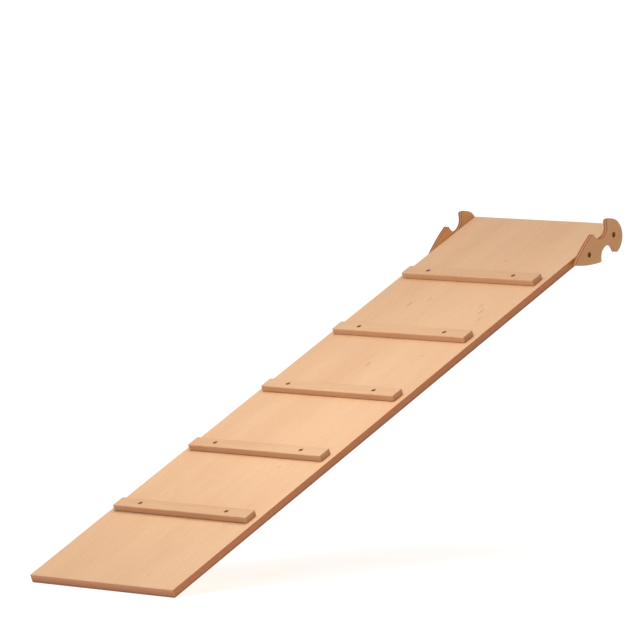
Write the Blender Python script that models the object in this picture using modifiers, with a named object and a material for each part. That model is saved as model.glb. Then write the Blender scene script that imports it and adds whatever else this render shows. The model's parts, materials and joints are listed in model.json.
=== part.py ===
"""Reversible toddler slide board: cleats on one face, hook plates at the top end.

Run with: blender --background --python part.py
Metres, +Z up. The origin is the centre line of the two lower hook notches, half way
across the board, where the ladder rung that the board hangs on goes. +X points up the
slope, and the low end of the board rests on a floor NOTCH_HEIGHT below the origin.

The board is drawn flat first: x runs from its low end to its top end, y runs across it,
and z is 0 half way through its thickness. One empty then tilts the whole assembly.
"""

import math

import bmesh
import bpy
from mathutils import Vector

# Board
BOARD_LENGTH = 1.245
BOARD_WIDTH = 0.312
BOARD_THICKNESS = 0.015
BOARD_EDGE_RADIUS = 0.0018

# Cleats
CLEAT_COUNT = 5
FIRST_CLEAT_X = 0.2225
CLEAT_PITCH = 0.2015
CLEAT_LENGTH = 0.290
CLEAT_WIDTH = 0.027
CLEAT_HEIGHT = 0.011
CLEAT_EDGE_RADIUS = 0.0020

# Hook plates. Their outline is the same above and below its own middle line, which
# lies PLATE_DROP below the middle of the board's thickness.
PLATE_THICKNESS = 0.009
PLATE_LENGTH = 0.136
PLATE_DROP = 0.002
PLATE_OVERHANG = 0.0015
PLATE_POINT_ANGLE = math.radians(30)
PLATE_FRONT_RADIUS = 0.270
PLATE_END_RADIUS = 0.0315
PLATE_EDGE_RADIUS = 0.0008
TIP_RADIUS = 0.0025
HOOK_CORNER_RADIUS = 0.004

# The ladder that the board hangs on
RUNG_RADIUS = 0.0175
RUNG_CLEARANCE = 0.003
NOTCH_HEIGHT = 0.510
NOTCH_FROM_END = 0.050

# Countersunk wood screws, whose heads lie "sink" below the surface
CLEAT_SCREW = {"length": 0.020, "head": 0.0038, "shank": 0.0020, "sink": 0.0007}
PLATE_SCREW = {"length": 0.032, "head": 0.0046, "shank": 0.0022, "sink": 0.0030}
SCREW_POINT_LENGTH = 0.004
SCREW_RIM_HEIGHT = 0.0002
SCREW_SIDES = 20
CLEAT_SCREW_SPACING = 0.188
PLATE_SCREWS_FROM_END = (0.096, 0.022)
DRIVE_SLOT_LENGTH = 0.0042
DRIVE_SLOT_WIDTH = 0.0010
DRIVE_SLOT_DEPTH = 0.0012

GAP = 0.0003
ARC_STEP = math.radians(7.5)
ARC_LENGTH = 0.008

NOTCH_RADIUS = RUNG_RADIUS + RUNG_CLEARANCE
HALF_THICKNESS = BOARD_THICKNESS / 2
NOTCH_OFFSET = HALF_THICKNESS + NOTCH_RADIUS
NOTCH_X = BOARD_LENGTH - NOTCH_FROM_END
NOTCH_DEPTH = NOTCH_RADIUS + PLATE_DROP

BEECH_PLY = (0.72, 0.47, 0.29, 1.0)
BEECH = (0.68, 0.42, 0.25, 1.0)
HOOK_PLY = (0.58, 0.34, 0.18, 1.0)
BRONZED_STEEL = (0.10, 0.06, 0.035, 1.0)


def clear_scene():
    for old in list(bpy.data.objects):
        bpy.data.objects.remove(old, do_unlink=True)


def new_collection(name):
    made = bpy.data.collections.new(name)
    bpy.context.scene.collection.children.link(made)
    return made


def new_material(name, color, roughness, metallic=0.0):
    made = bpy.data.materials.new(name)
    made.use_nodes = True
    shader = made.node_tree.nodes["Principled BSDF"]
    shader.inputs["Base Color"].default_value = color
    shader.inputs["Roughness"].default_value = roughness
    shader.inputs["Metallic"].default_value = metallic
    return made


def move_to(obj, collection):
    for old in list(obj.users_collection):
        old.objects.unlink(obj)
    collection.objects.link(obj)


def tilt_angle():
    """The slope that puts the low end's underside on the floor, NOTCH_HEIGHT below the notches."""
    reach = math.hypot(NOTCH_X, NOTCH_DEPTH)
    return math.asin(NOTCH_HEIGHT / reach) + math.atan2(NOTCH_DEPTH, NOTCH_X)


def add_tilt_empty(collection):
    """The flat board's frame. It is placed so that the lower notch centre is at the origin."""
    empty = bpy.data.objects.new("slope", None)
    collection.objects.link(empty)
    empty.rotation_euler = (0, -tilt_angle(), 0)
    lower_notch = Vector((NOTCH_X, 0, -HALF_THICKNESS - NOTCH_DEPTH))
    empty.location = -(empty.rotation_euler.to_matrix() @ lower_notch)
    return empty


def add_bevel(obj, width, segments):
    bevel = obj.modifiers.new("rounded_edges", "BEVEL")
    bevel.width = width
    bevel.segments = segments
    bevel.limit_method = "ANGLE"
    bevel.angle_limit = math.radians(40)


def add_screw_holes(obj, holes):
    """Cuts every screw hole that meets this piece."""
    cut = obj.modifiers.new("screw_holes", "BOOLEAN")
    cut.operand_type = "COLLECTION"
    cut.collection = holes
    cut.solver = "EXACT"


def add_block(name, size, place, parent, collection):
    bpy.ops.mesh.primitive_cube_add(size=1, location=(0, 0, 0))
    obj = bpy.context.active_object
    obj.name = name
    for vertex in obj.data.vertices:
        vertex.co = Vector(a * b for a, b in zip(vertex.co, size))
    obj.parent = parent
    obj.location = place
    move_to(obj, collection)
    return obj


def mesh_of(obj, merge=False):
    """The object's evaluated mesh, as new mesh data."""
    graph = bpy.context.evaluated_depsgraph_get()
    mesh = bpy.data.meshes.new_from_object(obj.evaluated_get(graph))
    if merge:
        weld(mesh)
    return mesh


def weld(mesh):
    shape = bmesh.new()
    shape.from_mesh(mesh)
    bmesh.ops.remove_doubles(shape, verts=shape.verts, dist=1e-6)
    bmesh.ops.recalc_face_normals(shape, faces=shape.faces)
    shape.to_mesh(mesh)
    shape.free()


# ---------------------------------------------------------------- hook plate outline


def arc(centre, radius, start, end):
    """Points from angle start to angle end, both included."""
    turned = abs(end - start)
    steps = max(math.ceil(turned / ARC_STEP), math.ceil(radius * turned / ARC_LENGTH))
    turns = [start + (end - start) * i / steps for i in range(steps + 1)]
    return [centre + radius * Vector((math.cos(a), math.sin(a))) for a in turns]


def angle_from(centre, point):
    return math.atan2(point.y - centre.y, point.x - centre.x)


def circles_meet(centre_a, radius_a, centre_b, radius_b):
    """Where two circles cross, on the left of the way from a to b."""
    across = centre_b - centre_a
    distance = across.length
    along = (distance**2 + radius_a**2 - radius_b**2) / (2 * distance)
    side = math.sqrt(radius_a**2 - along**2)
    ahead = across.normalized()
    left = Vector((-ahead.y, ahead.x))
    return centre_a + ahead * along + left * side


def upper_half_outline():
    """From the point at the plate's front, over tip, notch and hook, to its round end.

    x is measured along the board from the plate's end of the board, and y from the
    plate's middle line. The front edge is a shallow arc, whose centre is "front".
    """
    point = Vector((-PLATE_LENGTH, 0))
    downward = Vector((math.sin(PLATE_POINT_ANGLE), -math.cos(PLATE_POINT_ANGLE)))
    front = point + downward * PLATE_FRONT_RADIUS
    notch = Vector((-NOTCH_FROM_END, NOTCH_OFFSET))
    end = Vector((PLATE_OVERHANG - PLATE_END_RADIUS, 0))
    tip_reach = NOTCH_RADIUS + TIP_RADIUS
    tip = circles_meet(front, PLATE_FRONT_RADIUS - TIP_RADIUS, notch, tip_reach)
    hook_reach = NOTCH_RADIUS + HOOK_CORNER_RADIUS
    hook = circles_meet(notch, hook_reach, end, PLATE_END_RADIUS - HOOK_CORNER_RADIUS)
    tip_start = angle_from(front, tip)
    tip_end = angle_from(tip, notch)
    notch_start = tip_end - math.pi
    notch_end = angle_from(notch, hook)
    hook_start = notch_end + math.pi
    hook_end = angle_from(end, hook)
    return (
        arc(front, PLATE_FRONT_RADIUS, angle_from(front, point), tip_start)
        + arc(tip, TIP_RADIUS, tip_start, tip_end)[1:]
        + arc(notch, NOTCH_RADIUS, notch_start, notch_end)[1:]
        + arc(hook, HOOK_CORNER_RADIUS, hook_start, hook_end)[1:]
        + arc(end, PLATE_END_RADIUS, hook_end, 0)[1:]
    )


def plate_outline():
    upper = upper_half_outline()
    lower = [Vector((p.x, -p.y)) for p in reversed(upper[1:-1])]
    return upper + lower


def plate_mesh():
    """The outline as a flat plate, in its own xy plane and centred on z = 0."""
    outline = plate_outline()
    curve = bpy.data.curves.new("hook_plate_outline", "CURVE")
    curve.dimensions = "2D"
    curve.fill_mode = "BOTH"
    curve.extrude = PLATE_THICKNESS / 2
    line = curve.splines.new("POLY")
    line.points.add(len(outline) - 1)
    for target, source in zip(line.points, outline):
        target.co = (source.x, source.y, 0, 1)
    line.use_cyclic_u = True
    drawn = bpy.data.objects.new("hook_plate_outline", curve)
    bpy.context.scene.collection.objects.link(drawn)
    mesh = mesh_of(drawn, merge=True)
    bpy.data.objects.remove(drawn, do_unlink=True)
    mesh.name = "hook_plate"
    return mesh


# ---------------------------------------------------------------- screws and their holes


def turned_mesh(name, profile):
    """A profile of (radius, height) pairs, top to bottom, turned about Z."""
    mesh = bpy.data.meshes.new(name)
    points = [(radius, 0, height) for radius, height in profile]
    edges = [(i, i + 1) for i in range(len(points) - 1)]
    mesh.from_pydata(points, edges, [])
    obj = bpy.data.objects.new(name, mesh)
    bpy.context.scene.collection.objects.link(obj)
    spin = obj.modifiers.new("turned", "SCREW")
    spin.steps = SCREW_SIDES
    spin.render_steps = SCREW_SIDES
    spin.use_merge_vertices = True
    spin.merge_threshold = 1e-5
    return obj


def screw_profile(kind, grow=0.0):
    """A countersunk screw with its head's top at height 0, and grow added all round."""
    shank = kind["shank"] + grow
    head = kind["head"] + grow
    cone = kind["head"] - kind["shank"]
    return [
        (head, -SCREW_RIM_HEIGHT - grow),
        (shank, -SCREW_RIM_HEIGHT - cone - grow),
        (shank, -kind["length"] + SCREW_POINT_LENGTH - grow),
        (0, -kind["length"] - grow),
    ]


def screw_mesh(name, kind, cutters):
    """A screw with a cross recess in its head."""
    solid = turned_mesh(name, [(0, 0), (kind["head"], 0)] + screw_profile(kind))
    for index, turn in enumerate((0, math.pi / 2)):
        size = (DRIVE_SLOT_LENGTH, DRIVE_SLOT_WIDTH, 2 * DRIVE_SLOT_DEPTH)
        slot = add_block(f"{name}_slot_{index}", size, (0, 0, 0), None, cutters)
        slot.rotation_euler = (0, 0, turn)
        cut = solid.modifiers.new(f"recess_{index}", "BOOLEAN")
        cut.object = slot
        cut.solver = "EXACT"
    bpy.context.view_layer.update()
    mesh = mesh_of(solid)
    for made in [solid] + [m.object for m in solid.modifiers if m.type == "BOOLEAN"]:
        bpy.data.objects.remove(made, do_unlink=True)
    return mesh


def hole_mesh(name, kind):
    """The cutter for a screw whose head lies sunk below the surface at height 0."""
    mouth = kind["head"] + GAP
    above = 0.004
    below = [(radius, height - kind["sink"]) for radius, height in screw_profile(kind, GAP)]
    solid = turned_mesh(name, [(0, above), (mouth, above)] + below)
    mesh = mesh_of(solid)
    bpy.data.objects.remove(solid, do_unlink=True)
    return mesh


def place_screw(name, looks, surface, turn, sink, kit):
    """One screw and the cutter of its hole. surface is the point where its axis enters."""
    screw_data, hole_data = looks
    screw = bpy.data.objects.new(name, screw_data)
    kit["parts"].objects.link(screw)
    hole = bpy.data.objects.new(f"{name}_hole", hole_data)
    kit["holes"].objects.link(hole)
    hole.hide_render = True
    hole.display_type = "WIRE"
    for obj in (screw, hole):
        obj.parent = kit["slope"]
        obj.rotation_euler = turn
    outward = screw.rotation_euler.to_matrix() @ Vector((0, 0, 1))
    hole.location = surface
    screw.location = surface - outward * sink
    finish(screw, kit["steel"])


def finish(obj, material):
    obj.data.materials.clear()
    obj.data.materials.append(material)
    for face in obj.data.polygons:
        face.use_smooth = True
    obj.data.set_sharp_from_angle(angle=math.radians(35))


# ---------------------------------------------------------------- the pieces


def cleat_places():
    return [FIRST_CLEAT_X + i * CLEAT_PITCH for i in range(CLEAT_COUNT)]


def add_board(kit):
    size = (BOARD_LENGTH, BOARD_WIDTH, BOARD_THICKNESS)
    middle = (BOARD_LENGTH / 2, 0, 0)
    board = add_block("slide_board", size, middle, kit["slope"], kit["parts"])
    add_bevel(board, BOARD_EDGE_RADIUS, 3)
    add_screw_holes(board, kit["holes"])
    finish(board, new_material("beech_plywood", BEECH_PLY, 0.45))


def add_cleats(kit):
    beech = new_material("solid_beech", BEECH, 0.5)
    size = (CLEAT_WIDTH, CLEAT_LENGTH, CLEAT_HEIGHT)
    height = HALF_THICKNESS + GAP + CLEAT_HEIGHT / 2
    for number, x in enumerate(cleat_places(), start=1):
        place = (x, 0, height)
        cleat = add_block(f"cleat_{number}", size, place, kit["slope"], kit["parts"])
        add_bevel(cleat, CLEAT_EDGE_RADIUS, 3)
        add_screw_holes(cleat, kit["holes"])
        finish(cleat, beech)


def add_cleat_screws(kit):
    screw = screw_mesh("cleat_screw", CLEAT_SCREW, kit["cutters"])
    hole = hole_mesh("cleat_screw_hole", CLEAT_SCREW)
    sink = CLEAT_SCREW["sink"]
    top = HALF_THICKNESS + GAP + CLEAT_HEIGHT
    for number, x in enumerate(cleat_places(), start=1):
        for side, y in (("left", CLEAT_SCREW_SPACING / 2), ("right", -CLEAT_SCREW_SPACING / 2)):
            name = f"cleat_{number}_screw_{side}"
            place_screw(name, (screw, hole), Vector((x, y, top)), (0, 0, 0), sink, kit)


def add_hook_plates(kit):
    ply = new_material("hook_plywood", HOOK_PLY, 0.5)
    shared = plate_mesh()
    across = BOARD_WIDTH / 2 + GAP + PLATE_THICKNESS / 2
    for side, y in (("left", across), ("right", -across)):
        plate = bpy.data.objects.new(f"hook_plate_{side}", shared.copy())
        kit["parts"].objects.link(plate)
        plate.parent = kit["slope"]
        plate.location = (BOARD_LENGTH, y, -PLATE_DROP)
        plate.rotation_euler = (math.pi / 2, 0, 0)
        add_bevel(plate, PLATE_EDGE_RADIUS, 2)
        add_screw_holes(plate, kit["holes"])
        finish(plate, ply)


def add_plate_screws(kit):
    screw = screw_mesh("plate_screw", PLATE_SCREW, kit["cutters"])
    hole = hole_mesh("plate_screw_hole", PLATE_SCREW)
    outer = BOARD_WIDTH / 2 + GAP + PLATE_THICKNESS
    for side, sign in (("left", 1), ("right", -1)):
        turn = (-sign * math.pi / 2, 0, 0)
        for place, from_end in zip(("front", "rear"), PLATE_SCREWS_FROM_END):
            name = f"hook_plate_{side}_screw_{place}"
            surface = Vector((BOARD_LENGTH - from_end, sign * outer, -PLATE_DROP))
            place_screw(name, (screw, hole), surface, turn, PLATE_SCREW["sink"], kit)


def build():
    clear_scene()
    parts = new_collection("toddler_slide")
    cutters = new_collection("cutters")
    holes = bpy.data.collections.new("screw_holes")
    cutters.children.link(holes)
    cutters.hide_render = True
    kit = {"parts": parts, "cutters": cutters, "holes": holes}
    kit["slope"] = add_tilt_empty(parts)
    kit["steel"] = new_material("bronzed_steel", BRONZED_STEEL, 0.4, 0.9)
    add_cleat_screws(kit)
    add_plate_screws(kit)
    add_board(kit)
    add_cleats(kit)
    add_hook_plates(kit)


build()
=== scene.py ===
"""Looks of the toddler slide board: beech plywood, solid beech cleats, bronzed screws.

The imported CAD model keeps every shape. This script gives each node a procedural
material, finer shading, a floor, studio light and a camera.
"""

import json
import math

import bpy
from mathutils import Euler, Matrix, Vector


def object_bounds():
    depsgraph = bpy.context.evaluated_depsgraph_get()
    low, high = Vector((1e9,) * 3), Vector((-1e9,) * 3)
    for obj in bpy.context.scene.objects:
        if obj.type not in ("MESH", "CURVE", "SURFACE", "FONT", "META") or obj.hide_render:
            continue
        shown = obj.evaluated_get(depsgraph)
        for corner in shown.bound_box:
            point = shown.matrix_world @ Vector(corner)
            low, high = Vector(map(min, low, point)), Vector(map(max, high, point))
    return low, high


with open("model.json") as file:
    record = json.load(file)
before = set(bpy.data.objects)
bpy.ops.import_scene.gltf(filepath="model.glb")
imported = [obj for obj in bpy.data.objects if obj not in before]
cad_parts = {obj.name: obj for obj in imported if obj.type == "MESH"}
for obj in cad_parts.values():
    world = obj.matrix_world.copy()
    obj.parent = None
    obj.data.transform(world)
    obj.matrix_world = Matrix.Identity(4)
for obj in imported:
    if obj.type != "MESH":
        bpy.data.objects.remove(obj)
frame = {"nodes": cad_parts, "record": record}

CAD_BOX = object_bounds()

# ---------------------------------------------------------------- the board's own axes


def mount(name):
    """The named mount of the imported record."""
    return next(m for m in frame["record"]["mounts"] if m["name"] == name)


UNDERSIDE_NORMAL = Vector(mount("underside_face")["axis"])
TILT = math.atan2(UNDERSIDE_NORMAL.x, -UNDERSIDE_NORMAL.z)
TO_FLAT = Euler((0, TILT, 0)).to_matrix()


def flat_box(node):
    """Lowest and highest corner of a node with the slope taken out."""
    points = [TO_FLAT @ v.co for v in frame["nodes"][node].data.vertices]
    low = Vector(min(p[i] for p in points) for i in range(3))
    high = Vector(max(p[i] for p in points) for i in range(3))
    return low, high


BOARD_LOW, BOARD_HIGH = flat_box("slide_board")
BOARD_SIZE = BOARD_HIGH - BOARD_LOW
BOARD_PLIES = 11
PLATE_DARK_PLY = (0.20, 0.38)
PLY_BLUR = 0.02

# ---------------------------------------------------------------- colours


def linear(red, green, blue):
    """A colour given in 0 to 255 display values, as the shader wants it."""

    def decode(value):
        value /= 255
        return value / 12.92 if value <= 0.04045 else ((value + 0.055) / 1.055) ** 2.4

    return (decode(red), decode(green), decode(blue), 1.0)


VENEER_LIGHT = linear(233, 189, 147)
VENEER_DARK = linear(219, 170, 128)
FLECK = linear(186, 134, 96)
KNOT = linear(136, 84, 56)
EDGE_LONG = linear(198, 121, 66)
EDGE_END = linear(164, 90, 42)
END_FACE = linear(164, 104, 58)
# dark glue lines and voids, and also the colour of the painted shade low on the board's edges
GLUE_AND_PAINTED_SHADE = linear(100, 56, 30)
BARE_EDGE = linear(236, 196, 156)
CLEAT_LIGHT = linear(226, 182, 140)
CLEAT_DARK = linear(206, 156, 114)
# painted shade for the cleats' front and back faces
CLEAT_FRONT_SHADE = linear(174, 119, 80)
CLEAT_END = linear(160, 100, 60)
PLATE_LIT_AND_SHADED_TONES = {
    # the face's lighter tone, its darker tone and the pale plies, as each side looks in the photo
    # one plywood, toned per side as painted light and shade: the right's faces darker, the left's
    # pale plies much darker
    "left": (linear(218, 159, 101), linear(198, 138, 84), linear(172, 108, 68)),
    "right": (linear(205, 148, 93), linear(184, 127, 77), linear(196, 134, 90)),
}
PLATE_PLY_DARK = linear(130, 62, 26)
BRONZE = linear(156, 104, 56)
BRONZE_WORN = linear(196, 146, 92)
FLOOR_LIGHT = linear(188, 188, 188)
FLOOR_DARK = linear(184, 184, 184)
FLOOR_GLOW = 0.72


# ---------------------------------------------------------------- shader graph helper


class Graph:
    """Builds one node material. Inputs are sockets or plain values."""

    def __init__(self, name):
        self.material = bpy.data.materials.new(name)
        self.material.use_nodes = True
        self.tree = self.material.node_tree
        self.shader = self.tree.nodes["Principled BSDF"]

    def put(self, socket, value):
        if isinstance(value, bpy.types.NodeSocket):
            self.tree.links.new(value, socket)
        elif value is not None:
            socket.default_value = value

    def node(self, kind, values=(), **settings):
        made = self.tree.nodes.new(kind)
        for key, value in settings.items():
            setattr(made, key, value)
        for key, value in dict(values).items():
            self.put(made.inputs[key], value)
        return made

    def math(self, operation, first, second=None, third=None, clamp=False):
        inputs = {0: first, 1: second, 2: third}
        made = self.node("ShaderNodeMath", inputs, operation=operation, use_clamp=clamp)
        return made.outputs[0]

    def rise(self, value, start, end):
        """0 below start and 1 above end, or the other way round if start is the larger."""
        made = self.node("ShaderNodeMapRange", interpolation_type="SMOOTHSTEP")
        self.put(made.inputs["Value"], value)
        low, high = min(start, end), max(start, end)
        self.put(made.inputs["From Min"], low)
        self.put(made.inputs["From Max"], high)
        self.put(made.inputs["To Min"], 0.0 if start < end else 1.0)
        self.put(made.inputs["To Max"], 1.0 if start < end else 0.0)
        return made.outputs[0]

    def blend(self, factor, first, second):
        made = self.node("ShaderNodeMix", data_type="RGBA")
        self.put(made.inputs[0], factor)
        self.put(made.inputs[6], first)
        self.put(made.inputs[7], second)
        return made.outputs[2]

    def scaled(self, vector, scale, shift=(0, 0, 0)):
        values = {"Vector": vector, "Scale": scale, "Location": shift}
        return self.node("ShaderNodeMapping", values).outputs[0]

    def noise(self, vector, scale, detail=3.0, roughness=0.55, shift=(0, 0, 0)):
        """Noise between 0 and 1, with scale in bumps per metre along each axis."""
        values = {
            "Vector": self.scaled(vector, scale, shift),
            "Scale": 1.0,
            "Detail": detail,
            "Roughness": roughness,
        }
        return self.node("ShaderNodeTexNoise", values).outputs["Fac"]

    def cells(self, vector, scale, shift=(0, 0, 0)):
        """(distance to the nearest cell centre, that cell's own random value)."""
        values = {"Vector": self.scaled(vector, scale, shift), "Scale": 1.0}
        made = self.node("ShaderNodeTexVoronoi", values)
        random = self.split(made.outputs["Color"])[0]
        return made.outputs["Distance"], random

    def split(self, vector):
        return self.node("ShaderNodeSeparateXYZ", {0: vector}).outputs

    def join(self, x, y, z):
        return self.node("ShaderNodeCombineXYZ", {0: x, 1: y, 2: z}).outputs[0]

    def flat_position(self):
        """Position in metres on the flat board: from its low end, its middle and mid-ply."""
        middle = Vector((BOARD_LOW.x, 0, (BOARD_LOW.z + BOARD_HIGH.z) / 2))
        source = self.node("ShaderNodeTexCoord").outputs["Object"]
        values = {"Vector": source, "Rotation": (0, TILT, 0), "Location": -middle}
        return self.node("ShaderNodeMapping", values).outputs[0]

    def flat_normal(self):
        source = self.node("ShaderNodeNewGeometry").outputs["Normal"]
        values = {"Vector": source, "Rotation": (0, TILT, 0)}
        turned = self.node("ShaderNodeMapping", values, vector_type="VECTOR")
        return [self.math("ABSOLUTE", part) for part in self.split(turned.outputs[0])]

    def facing(self, part):
        """1 where that part of the flat normal is most of it, 0 where it is little."""
        return self.rise(part, 0.4, 0.8)

    def turned_from(self, part):
        """1 where that part of the flat normal is no longer most of it."""
        return self.rise(part, 0.86, 0.55)

    def rounding(self, first, second, third=0.0):
        """1 on a rounded edge and 0 where one part of the flat normal is all of it."""
        largest = self.math("MAXIMUM", self.math("MAXIMUM", first, second), third)
        return self.rise(largest, 0.985, 0.85)

    def finish(self, color, roughness, height, depth):
        """Connects what varies and returns the material."""
        self.put(self.shader.inputs["Base Color"], color)
        self.put(self.shader.inputs["Roughness"], roughness)
        bump = self.node("ShaderNodeBump", {"Height": height, "Distance": depth})
        self.put(bump.inputs["Strength"], 1.0)
        self.put(self.shader.inputs["Normal"], bump.outputs[0])
        return self.material


# ---------------------------------------------------------------- wood


def growth_lines(graph, grain, seed):
    """Faint wavy year lines, as where a blade follows the rings: 0 between, 1 on a line."""
    shift = (seed * 3.1, seed * 7.7, seed)
    field = graph.noise(grain, (0.9, 9.0, 9.0), detail=2.0, roughness=0.4, shift=shift)
    ragged = graph.noise(grain, (14.0, 260.0, 260.0), detail=3.0, shift=shift)
    phase = graph.math("MULTIPLY_ADD", ragged, 0.05, field)
    turn = graph.math("FRACT", graph.math("MULTIPLY", phase, 26.0))
    return graph.rise(turn, 0.45, 1.0)


def streaks(graph, grain, seed):
    """Fine fibres along the grain."""
    shift = (seed, seed * 2.3, seed * 5.9)
    return graph.noise(grain, (9.0, 900.0, 900.0), detail=4.0, roughness=0.65, shift=shift)


def flecks(graph, grain, seed):
    """The short dark dashes of beech, a few millimetres long."""
    shift = (seed * 11.0, seed * 5.0, seed * 2.0)
    distance, random = graph.cells(grain, (150.0, 1150.0, 1150.0), shift)
    near = graph.rise(distance, 0.42, 0.12)
    chosen = graph.rise(random, 0.35, 0.75)
    return graph.math("MULTIPLY", near, chosen)


def patches(graph, grain, seed):
    """Slow drifts of tone over some centimetres."""
    shift = (seed * 0.7, seed * 1.9, seed * 4.3)
    return graph.noise(grain, (2.2, 16.0, 16.0), detail=3.0, roughness=0.5, shift=shift)


def long_grain(graph, grain, seed, light, dark):
    """(colour, height) of wood cut along its grain. grain runs along its first axis."""
    tone = graph.rise(patches(graph, grain, seed), 0.25, 0.8)
    lines = growth_lines(graph, grain, seed)
    fibres = streaks(graph, grain, seed)
    dashes = flecks(graph, grain, seed)
    shade = graph.math("MULTIPLY", tone, 0.45)
    shade = graph.math("MULTIPLY_ADD", lines, 0.16, shade)
    shade = graph.math("MULTIPLY_ADD", fibres, 0.30, shade, clamp=True)
    color = graph.blend(shade, light, dark)
    color = graph.blend(graph.math("MULTIPLY", dashes, 0.45), color, FLECK)
    height = graph.math("MULTIPLY_ADD", dashes, -0.6, fibres)
    return color, height


def end_grain(graph, position, seed, light, dark):
    """(colour, height) of wood cut across its grain: fine pores, no direction."""
    shift = (seed, seed * 3.0, seed * 6.0)
    pores = graph.noise(position, (1500.0, 1500.0, 1500.0), detail=2.0, shift=shift)
    drift = graph.noise(position, (60.0, 60.0, 60.0), detail=2.0, shift=shift)
    shade = graph.math("MULTIPLY_ADD", pores, 0.6, graph.math("MULTIPLY", drift, 0.5))
    return graph.blend(shade, light, dark), pores


def plies(graph, depth, count):
    """(0 or 1 for every second ply, 1 on a glue line) for a depth from 0 to 1."""
    layers = graph.math("MULTIPLY", depth, float(count))
    within = graph.math("FRACT", layers)
    odd = graph.math("MODULO", graph.math("FLOOR", layers), 2.0)
    to_line = graph.math("MINIMUM", within, graph.math("SUBTRACT", 1.0, within))
    return odd, graph.rise(to_line, 0.09, 0.02)


def gloss(graph, grain, low, high):
    """Roughness that changes with the lacquer's coverage."""
    cover = graph.noise(grain, (7.0, 22.0, 22.0), detail=3.0)
    return graph.math("MULTIPLY_ADD", cover, high - low, low)


def rub_edges(graph, color, rounding, position, amount):
    """Lacquer rubbed thin along the rounded edges, in uneven stretches."""
    worn = graph.rise(graph.noise(position, (35.0, 35.0, 35.0)), 0.35, 0.65)
    reach = graph.math("MULTIPLY", graph.math("MULTIPLY", rounding, worn), amount)
    return graph.blend(reach, color, BARE_EDGE)


KNOTS = (
    # on the cleated face: along the board, across it, length, width, strength
    # the places were printed by a script that searched the photo, and rounded to 5 mm
    (0.035, -0.075, 0.003, 0.0016, 0.50),
    (0.130, -0.035, 0.026, 0.0026, 0.12),
    (0.165, -0.050, 0.024, 0.0028, 0.12),
    (0.385, -0.075, 0.008, 0.0022, 0.30),
    (0.725, 0.000, 0.012, 0.0040, 0.32),
    (0.765, -0.090, 0.010, 0.0022, 0.35),
    (0.895, -0.115, 0.012, 0.0036, 0.22),
    (0.920, -0.100, 0.014, 0.0040, 0.32),
    (0.940, -0.085, 0.012, 0.0028, 0.25),
    (0.930, 0.065, 0.013, 0.0040, 0.35),
    (0.950, 0.035, 0.013, 0.0032, 0.25),
    (1.095, -0.025, 0.0045, 0.0030, 0.45),
    (1.180, 0.020, 0.015, 0.0030, 0.10),
)


END_VOIDS = (
    # across the board, through its thickness, length, height, strength
    # the first stands where one shows, and the second is invented
    (0.052, -0.0054, 0.0080, 0.0018, 0.9),
    (-0.088, 0.0018, 0.0050, 0.0008, 0.5),
)


def spots(graph, position, table):
    """Soft-edged ragged ellipses in the plane of the position's first two parts."""
    ragged = graph.noise(position, (180.0, 500.0, 10.0), detail=2.0)
    total = 0.0
    for first, second, length, width, strength in table:
        scale = (1 / length, 1 / width, 0.0)
        shift = (-first / length, -second / width, 0.0)
        offset = graph.scaled(position, scale, shift)
        size = graph.node("ShaderNodeVectorMath", {0: offset}, operation="LENGTH")
        reach = graph.math("MULTIPLY_ADD", ragged, 0.7, size.outputs["Value"])
        spot = graph.math("MULTIPLY", graph.rise(reach, 1.35, 0.5), strength)
        total = graph.math("MAXIMUM", spot, total)
    return total


def board_material():
    """Beech-faced plywood: long grain on both faces, plies on all four edges."""
    graph = Graph("beech_plywood_board")
    position = graph.flat_position()
    x, y, z = graph.split(position)
    along, across, up = graph.flat_normal()
    face, face_height = long_grain(graph, position, 1.0, VENEER_LIGHT, VENEER_DARK)
    on_top = graph.rise(z, 0.0, 0.3 * BOARD_SIZE.z)
    marks = graph.math("MULTIPLY", spots(graph, position, KNOTS), on_top)
    face = graph.blend(marks, face, KNOT)
    depth = graph.math("MULTIPLY_ADD", z, 1 / BOARD_SIZE.z, 0.5)
    odd, glue = plies(graph, depth, BOARD_PLIES)
    even = graph.math("SUBTRACT", 1.0, odd)
    at_end = graph.facing(along)
    on_side = graph.math("MULTIPLY", odd, graph.facing(across))
    on_end = graph.math("MULTIPLY", even, at_end)
    cut_across = graph.math("MAXIMUM", on_side, on_end)
    side, side_height = long_grain(graph, graph.join(x, z, y), 2.0, EDGE_LONG, EDGE_END)
    ends, end_height = end_grain(graph, position, 3.0, EDGE_LONG, EDGE_END)
    edge = graph.blend(graph.math("MULTIPLY_ADD", cut_across, 0.7, 0.15), side, ends)
    edge = graph.blend(graph.math("MULTIPLY", cut_across, 0.45), edge, EDGE_END)
    edge = graph.blend(graph.math("MULTIPLY", glue, 0.55), edge, GLUE_AND_PAINTED_SHADE)
    edge = graph.blend(graph.math("MULTIPLY", at_end, 0.55), edge, END_FACE)
    # painted light: the end faces made paler towards their top, where light from above falls
    painted_light_end_top = graph.math("MULTIPLY", at_end, graph.rise(depth, 0.45, 0.95))
    edge = graph.blend(graph.math("MULTIPLY", painted_light_end_top, 0.22), edge, VENEER_DARK)
    # painted shade: every edge darkened towards its lowest plies, where light from above falls least
    painted_shade_low = graph.math("MULTIPLY", graph.rise(depth, 0.40, 0.08), 0.65)
    edge = graph.blend(painted_shade_low, edge, GLUE_AND_PAINTED_SHADE)
    voids = spots(graph, graph.join(y, z, x), END_VOIDS)
    voids = graph.math("MULTIPLY", voids, graph.rise(x, 0.01, 0.0))
    edge = graph.blend(voids, edge, GLUE_AND_PAINTED_SHADE)
    on_edge = graph.turned_from(up)
    color = graph.blend(on_edge, face, edge)
    color = rub_edges(graph, color, graph.rounding(along, across, up), position, 0.3)
    height = graph.blend(on_edge, face_height, graph.math("SUBTRACT", end_height, glue))
    return graph.finish(color, gloss(graph, position, 0.36, 0.50), height, 0.00006)


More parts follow.
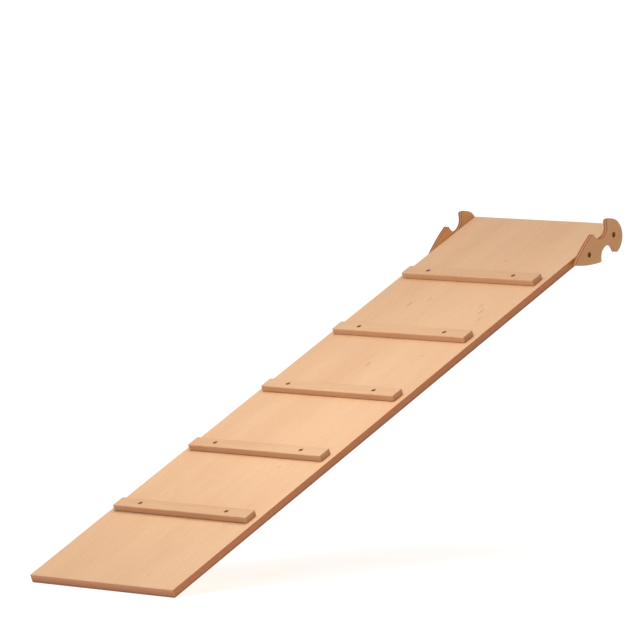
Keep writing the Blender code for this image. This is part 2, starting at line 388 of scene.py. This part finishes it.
def cleat_material(number):
    """Solid beech with its grain along the strip and end grain at both ends."""
    graph = Graph(f"solid_beech_cleat_{number}")
    position = graph.flat_position()
    x, y, z = graph.split(position)
    along, across, up = graph.flat_normal()
    seed = 4.0 + 1.7 * number
    grain = graph.join(y, x, z)
    face, face_height = long_grain(graph, grain, seed, CLEAT_LIGHT, CLEAT_DARK)
    ends, end_height = end_grain(graph, position, seed, CLEAT_DARK, CLEAT_END)
    at_end = graph.facing(across)
    color = graph.blend(at_end, face, ends)
    # painted shade: the cleat's front and back faces darkened, for light that falls from above
    front_back_painted_shade = graph.facing(along)
    color = graph.blend(graph.math("MULTIPLY", front_back_painted_shade, 0.5), color, CLEAT_FRONT_SHADE)
    color = rub_edges(graph, color, graph.rounding(along, across, up), position, 0.35)
    height = graph.blend(at_end, face_height, end_height)
    return graph.finish(color, gloss(graph, grain, 0.38, 0.52), height, 0.00006)


def plate_material(side):
    """Plywood seen flat on both faces, with its plies round the whole sawn outline."""
    graph = Graph(f"hook_plywood_{side}")
    position = graph.flat_position()
    x, y, z = graph.split(position)
    across = graph.flat_normal()[1]
    low, high = flat_box(f"hook_plate_{side}")
    seed = 20.0 if side == "left" else 23.0
    face_grain = graph.join(x, z, y)
    # the side's tones carry painted shade: darker faces on the right, darker pale plies on the left
    light, dark, pale_ply = PLATE_LIT_AND_SHADED_TONES[side]
    face, face_height = long_grain(graph, face_grain, seed, light, dark)
    thickness = high.y - low.y
    depth = graph.math("MULTIPLY_ADD", y, 1 / thickness, -low.y / thickness)
    from_core = graph.math("ABSOLUTE", graph.math("SUBTRACT", depth, 0.5))
    inner, outer = PLATE_DARK_PLY
    past_inner = graph.rise(from_core, inner - PLY_BLUR, inner + PLY_BLUR)
    short_of_outer = graph.rise(from_core, outer + PLY_BLUR, outer - PLY_BLUR)
    dark_ply = graph.math("MULTIPLY", past_inner, short_of_outer)
    ends, end_height = end_grain(graph, position, seed, pale_ply, dark)
    edge = graph.blend(graph.math("MULTIPLY", dark_ply, 0.95), ends, PLATE_PLY_DARK)
    on_edge = graph.turned_from(across)
    color = graph.blend(on_edge, face, edge)
    rim = graph.math("SQRT", graph.math("SUBTRACT", 1.0, graph.math("POWER", across, 2.0)))
    color = rub_edges(graph, color, graph.rounding(across, rim), position, 0.3)
    height = graph.blend(on_edge, face_height, graph.math("SUBTRACT", end_height, dark_ply))
    return graph.finish(color, gloss(graph, position, 0.38, 0.52), height, 0.00006)


def screw_material():
    """Dark bronzed steel, rubbed lighter in places."""
    graph = Graph("bronzed_steel")
    graph.shader.inputs["Metallic"].default_value = 0.6
    position = graph.flat_position()
    worn = graph.rise(graph.noise(position, (700.0, 700.0, 700.0)), 0.5, 0.75)
    color = graph.blend(worn, BRONZE, BRONZE_WORN)
    roughness = graph.math("MULTIPLY_ADD", worn, -0.15, 0.5)
    height = graph.noise(position, (2500.0, 2500.0, 2500.0))
    return graph.finish(color, roughness, height, 0.00002)


# ---------------------------------------------------------------- dressing the CAD nodes


def shade(obj):
    """Smooth on roundings, true flat on faces."""
    for polygon in obj.data.polygons:
        polygon.use_smooth = True
    smooth = obj.modifiers.new("even_normals", "WEIGHTED_NORMAL")
    smooth.keep_sharp = True
    smooth.weight = 100


def dress(node, material):
    obj = frame["nodes"][node]
    obj.data.materials.clear()
    obj.data.materials.append(material)
    shade(obj)


def dress_all():
    dress("slide_board", board_material())
    steel = screw_material()
    for node in sorted(frame["nodes"]):
        if "_screw_" in node:
            dress(node, steel)
        elif node.startswith("cleat_"):
            dress(node, cleat_material(int(node.removeprefix("cleat_"))))
        elif node.startswith("hook_plate_"):
            dress(node, plate_material(node.removeprefix("hook_plate_")))


# ---------------------------------------------------------------- studio

WHITE = (1.0, 1.0, 1.0, 1.0)
FLOOR_RADIUS = 400.0
FLOOR_CORNERS = 128
FLOOR_ROUGHNESS = 0.8
WORLD_STRENGTH = 0.34
SKY_STRENGTH = 1.05
SKY_SPREAD = math.radians(70)
SKY_TURN = (math.radians(6), math.radians(-8), 0)
SOFTBOX_POWER = 5.2
SOFTBOX_DIAMETER = 0.8
# on the board's own axes: from its low end, from its middle, and above its top face
SOFTBOX_ALONG = 0.50
SOFTBOX_ACROSS = -0.12
SOFTBOX_HEIGHT = 0.85
# the viewpoint, from a camera fitted to the edges that show in the photo
SENSOR_WIDTH = 36.0
CAMERA_REACH = 2000.0
CAMERA_LENS = 331.373
CAMERA_AIM = Vector((-0.53865, 0.01513, -0.10130))
CAMERA_DISTANCE = 9.86
CAMERA_YAW = math.radians(40.8826)
CAMERA_PITCH = math.radians(3.5415)
CAMERA_ROLL = math.radians(0.8500)


def add_floor():
    """A plain pale floor under the board's lowest edge."""
    bpy.ops.mesh.primitive_circle_add(
        vertices=FLOOR_CORNERS,
        radius=FLOOR_RADIUS,
        fill_type="NGON",
        location=(0, 0, CAD_BOX[0].z),
    )
    floor = bpy.context.active_object
    floor.name = "floor"
    graph = Graph("pale_floor")
    source = graph.node("ShaderNodeTexCoord").outputs["Object"]
    mottle = graph.noise(source, (3.0, 3.0, 3.0))
    color = graph.blend(mottle, FLOOR_LIGHT, FLOOR_DARK)
    graph.shader.inputs["Emission Color"].default_value = WHITE
    graph.shader.inputs["Emission Strength"].default_value = FLOOR_GLOW
    floor.data.materials.append(graph.finish(color, FLOOR_ROUGHNESS, mottle, 0.0001))


def add_lamp(name, kind, energy):
    lamp = bpy.data.lights.new(name, kind)
    lamp.energy = energy
    light = bpy.data.objects.new(name, lamp)
    bpy.context.scene.collection.objects.link(light)
    return lamp, light


def add_light():
    """Broad soft light from above, and a softbox nearer the lower half of the board."""
    world = bpy.data.worlds.new("studio")
    bpy.context.scene.world = world
    world.use_nodes = True
    background = world.node_tree.nodes["Background"]
    background.inputs["Color"].default_value = WHITE
    background.inputs["Strength"].default_value = WORLD_STRENGTH
    lamp, light = add_lamp("overhead_sky", "SUN", SKY_STRENGTH)
    lamp.angle = SKY_SPREAD
    light.rotation_euler = SKY_TURN
    lamp, light = add_lamp("softbox", "AREA", SOFTBOX_POWER)
    lamp.shape = "DISK"
    lamp.size = SOFTBOX_DIAMETER
    flat_place = Vector((BOARD_LOW.x + SOFTBOX_ALONG, SOFTBOX_ACROSS, BOARD_HIGH.z + SOFTBOX_HEIGHT))
    light.location = TO_FLAT.transposed() @ flat_place
    light.rotation_euler = TO_FLAT.transposed().to_euler()


def add_camera():
    """The photograph's viewpoint: a long lens, a little above the board."""
    data = bpy.data.cameras.new("photo_view")
    data.sensor_width = SENSOR_WIDTH
    data.lens = CAMERA_LENS
    data.clip_end = CAMERA_REACH
    camera = bpy.data.objects.new("photo_view", data)
    bpy.context.scene.collection.objects.link(camera)
    forward = Vector(
        (
            math.cos(CAMERA_YAW) * math.cos(CAMERA_PITCH),
            math.sin(CAMERA_YAW) * math.cos(CAMERA_PITCH),
            -math.sin(CAMERA_PITCH),
        )
    )
    camera.location = CAMERA_AIM - forward * CAMERA_DISTANCE
    level = forward.to_track_quat("-Z", "Y").to_matrix()
    camera.rotation_euler = (level @ Euler((0, 0, CAMERA_ROLL)).to_matrix()).to_euler()
    bpy.context.scene.camera = camera


dress_all()
add_floor()
add_light()
add_camera()
bpy.context.scene.view_settings.view_transform = "Standard"
